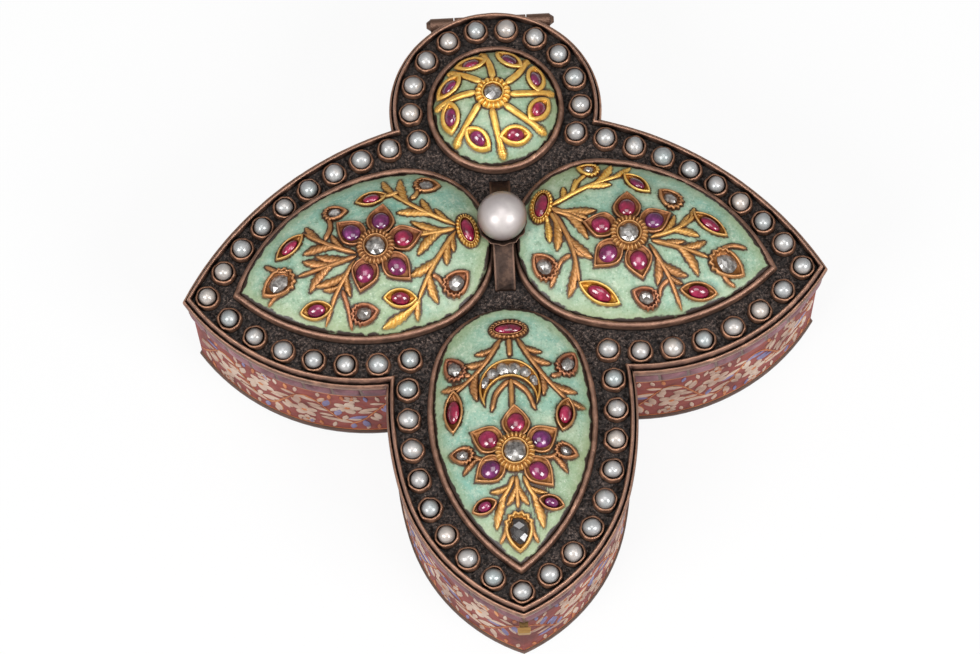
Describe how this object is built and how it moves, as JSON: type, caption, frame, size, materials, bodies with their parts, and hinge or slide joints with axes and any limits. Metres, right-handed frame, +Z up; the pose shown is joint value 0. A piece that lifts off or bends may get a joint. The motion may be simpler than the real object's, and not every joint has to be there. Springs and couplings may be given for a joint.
{
  "type": "jewel box",
  "caption": "Small hinged metal box with a round lobe and pointed lobes, enamel domes set with gems and vines, a pearl border, a pearl on a strap and a push catch.",
  "frame": {"origin": "on the underside, on the line between the two side tips", "axes": "+X to the right, +Y to the hinge at the back, +Z up"},
  "size_m": [0.1044, 0.107, 0.0373],
  "materials": {
    "gilt": "tarnished copper-brown gilding",
    "gold": "worn gold",
    "wall_metal": "plain, dull",
    "dark_ground": "blackened, grainy",
    "red_enamel": "glossy painted enamel",
    "mauve_enamel": "glossy enamel",
    "dome_enamel": "mottled glossy enamel",
    "ruby": "polished",
    "diamond": "rose cut",
    "pearl": "pearl lustre",
    "large_pearl": "pearl lustre",
    "spring_steel": "bare"
  },
  "bodies": {
    "base": {"base_floor": "wall_metal", "base_wall": "wall_metal", "base_foot_rim": "gilt", "base_top_band": "gold", "base_lip": "wall_metal", "hinge_base_leaf": "gilt", "hinge_pin": "gilt", "clasp_spring": "spring_steel", "clasp_rivet": "gilt", "enamel_round": "red_enamel", "enamel_left": "red_enamel", "enamel_right": "red_enamel", "enamel_front": "red_enamel"},
    "push_piece": {"clasp_thumb_piece": "gold", "clasp_hook": "gold"},
    "lid": {"lid_plate": "dark_ground", "lid_rim": "gilt", "lid_skirt": "gilt", "hinge_lid_leaf": "gilt", "catch_tongue": "gold", "pearl_strap": "gilt", "pearl_cup": "gilt", "pearl_peg": "gilt", "centre_pearl": "large_pearl", "lappets_round": "mauve_enamel", "lappets_left": "mauve_enamel", "lappets_right": "mauve_enamel", "lappets_front": "mauve_enamel", "bezel_round": "gilt", "bezel_left": "gilt", "bezel_right": "gilt", "bezel_front": "gilt", "dome_round": "dome_enamel", "dome_left": "dome_enamel", "dome_right": "dome_enamel", "dome_front": "dome_enamel", "vine_round": "gold", "vine_left": "gold", "vine_right": "gold", "vine_front": "gold", "settings_round": "gilt", "settings_left": "gilt", "settings_right": "gilt", "settings_front": "gilt", "rubies_round": "ruby", "rubies_left": "ruby", "rubies_right": "ruby", "rubies_front": "ruby", "diamonds_round": "diamond", "diamonds_left": "diamond", "diamonds_right": "diamond", "diamonds_front": "diamond", "border_pearls_round": "pearl", "border_pearls_left": "pearl", "border_pearls_right": "pearl", "border_pearls_front": "pearl", "pearl_collets_round": "gilt", "pearl_collets_left": "gilt", "pearl_collets_right": "gilt", "pearl_collets_front": "gilt"}
  },
  "joints": [
    {"name": "lid_hinge", "type": "hinge", "parent": "base", "child": "lid", "pos_m": [0, 0.0495, 0.01912], "axis": [-1, 0, 0], "range_deg": [0, 105]},
    {"name": "catch_slide", "type": "slide", "parent": "base", "child": "push_piece", "axis": [0, 1, 0], "range_m": [0, 0.0008], "stiffness_N_per_m": 300}
  ]
}
